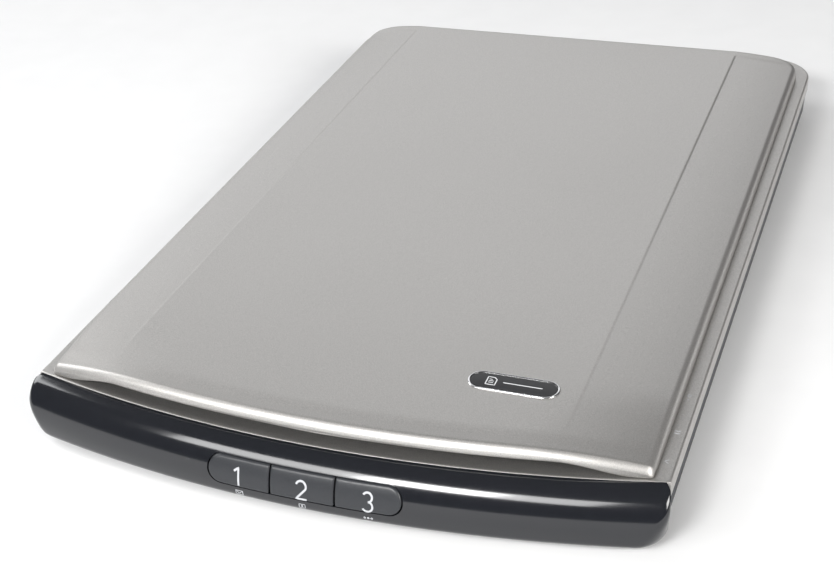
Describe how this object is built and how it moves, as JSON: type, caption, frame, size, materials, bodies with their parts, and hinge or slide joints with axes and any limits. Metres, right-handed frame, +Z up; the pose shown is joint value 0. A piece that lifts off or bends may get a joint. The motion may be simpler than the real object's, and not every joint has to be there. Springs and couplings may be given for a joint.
{
  "type": "flatbed scanner",
  "caption": "Slim flatbed document scanner with a hinged, lift-up lid over a glass bed, a bow-fronted bezel with push buttons, and a belt-driven sensor carriage inside.",
  "frame": {"origin": "centre of the bounding box, on the surface that the feet stand on", "axes": "+Z up, +Y from the button bezel towards the lid hinge, +X to the right of a person facing the bezel"},
  "size_m": [0.28, 0.443, 0.0385],
  "materials": {
    "silver_paint": "satin metallic silver paint on moulded plastic",
    "case_plastic": "fine-textured dark grey moulding",
    "bezel_gloss": "polished blue-black moulding",
    "key_plastic": "satin dark grey moulding",
    "black_plastic": "plain black moulding",
    "natural_resin": "unpainted acetal",
    "white_sheet": "matt white film",
    "foam": "soft light grey foam",
    "glass": "clear float glass",
    "tape": "black double-sided tape",
    "foot_rubber": "matt black rubber",
    "belt_rubber": "ribbed black polyurethane",
    "steel": "bright zinc-plated",
    "screw_steel": "black-passivated",
    "brass": "turned",
    "circuit_board": "green solder resist on glass laminate",
    "flat_cable": "white film over tinned conductors",
    "wire": "coloured wire jackets",
    "label_film": "blank silver film",
    "lens_glass": "packed rod lenses in resin",
    "clear_plastic": "clear acrylic light guide",
    "badge_silver": "bright silver rim",
    "badge_black": "polished black"
  },
  "bodies": {
    "base": {"lower_case": "case_plastic", "top_cover": "silver_paint", "front_bezel": "bezel_gloss", "button_guide": "black_plastic", "button_board": "circuit_board", "tact_switches": "black_plastic", "platen_glass": "glass", "glass_tape": "tape", "calibration_strip": "white_sheet", "feet": "foot_rubber", "guide_rod": "steel", "rod_clips": "black_plastic", "main_board": "circuit_board", "board_chips": "black_plastic", "board_connectors": "natural_resin", "usb_socket": "steel", "drive_motor": "steel", "motor_bracket": "steel", "small_screws": "screw_steel", "case_screws": "screw_steel", "gear_stud": "steel", "idler_slider": "black_plastic", "idler_pin": "steel", "tension_spring": "steel", "drive_belt": "belt_rubber", "motor_cable": "wire", "button_cable": "flat_cable", "ribbon_cable": "flat_cable", "ribbon_loop": "flat_cable", "home_sensor": "black_plastic", "rating_plate": "label_film"},
    "lock": {"transport_lock": "case_plastic"},
    "carriage_body": {"carriage": "black_plastic", "rod_bushes": "brass", "belt_clamp": "natural_resin", "cis_springs": "steel"},
    "sensor_bar": {"cis_housing": "black_plastic", "rod_lens": "lens_glass", "light_guide": "clear_plastic", "cis_board": "circuit_board", "glass_sliders": "natural_resin"},
    "rotor": {"motor_shaft": "steel", "motor_pinion": "brass"},
    "gear": {"reduction_gear": "natural_resin"},
    "idler": {"idler_pulley": "natural_resin"},
    "key_1": {"button_1": "key_plastic"},
    "key_2": {"button_2": "key_plastic"},
    "key_3": {"button_3": "key_plastic"},
    "post_left": {"hinge_post_left": "case_plastic"},
    "post_right": {"hinge_post_right": "case_plastic"},
    "lid": {"lid_shell": "silver_paint", "lid_inner": "case_plastic", "foam_pad": "foam", "white_sheet": "white_sheet", "badge_rim": "badge_silver", "badge_plate": "badge_black", "hinge_leaves": "case_plastic", "hinge_pins": "steel", "lid_screws": "screw_steel"}
  },
  "joints": [
    {"name": "post_left_lift", "type": "slide", "parent": "base", "child": "post_left", "axis": [0, 0, 1], "range_m": [0, 0.014]},
    {"name": "post_right_lift", "type": "slide", "parent": "base", "child": "post_right", "axis": [0, 0, 1], "range_m": [0, 0.014]},
    {"name": "lid_hinge", "type": "hinge", "parent": "post_left", "child": "lid", "pos_m": [-0.07, 0.2055, 0.0306], "axis": [-1, 0, 0], "range_deg": [0, 80]},
    {"name": "carriage_slide", "type": "slide", "parent": "base", "child": "carriage_body", "axis": [0, -1, 0], "range_m": [0, 0.312], "deforming": ["ribbon_loop"]},
    {"name": "sensor_float", "type": "slide", "parent": "carriage_body", "child": "sensor_bar", "axis": [0, 0, 1], "range_m": [-0.0008, 0], "stiffness_N_per_m": 600, "springref_m": 0.003, "deforming": ["cis_springs"]},
    {"name": "gear_spin", "type": "hinge", "parent": "base", "child": "gear", "pos_m": [-0.1235, 0.1968, 0.018], "axis": [0, 0, 1], "continuous": true},
    {"name": "rotor_spin", "type": "hinge", "parent": "base", "child": "rotor", "pos_m": [-0.1079, 0.199, 0.018], "axis": [0, 0, 1], "continuous": true},
    {"name": "idler_spin", "type": "hinge", "parent": "base", "child": "idler", "pos_m": [-0.1235, -0.182, 0.018], "axis": [0, 0, 1], "continuous": true},
    {"name": "button_1_press", "type": "slide", "parent": "base", "child": "key_1", "axis": [0, 1, 0], "range_m": [0, 0.0008], "stiffness_N_per_m": 500, "springref_m": -0.0015},
    {"name": "button_2_press", "type": "slide", "parent": "base", "child": "key_2", "axis": [0, 1, 0], "range_m": [0, 0.0008], "stiffness_N_per_m": 500, "springref_m": -0.0015},
    {"name": "button_3_press", "type": "slide", "parent": "base", "child": "key_3", "axis": [0, 1, 0], "range_m": [0, 0.0008], "stiffness_N_per_m": 500, "springref_m": -0.0015},
    {"name": "lock_slide", "type": "slide", "parent": "base", "child": "lock", "axis": [1, 0, 0], "range_m": [0, 0.006]}
  ],
  "couplings": [
    {"joint": "post_right_lift", "follows": "post_left_lift", "ratio": 1},
    {"joint": "gear_spin", "follows": "carriage_slide", "rad_per_m": -176.99},
    {"joint": "rotor_spin", "follows": "carriage_slide", "rad_per_m": 442.48},
    {"joint": "idler_spin", "follows": "carriage_slide", "rad_per_m": -176.99}
  ]
}
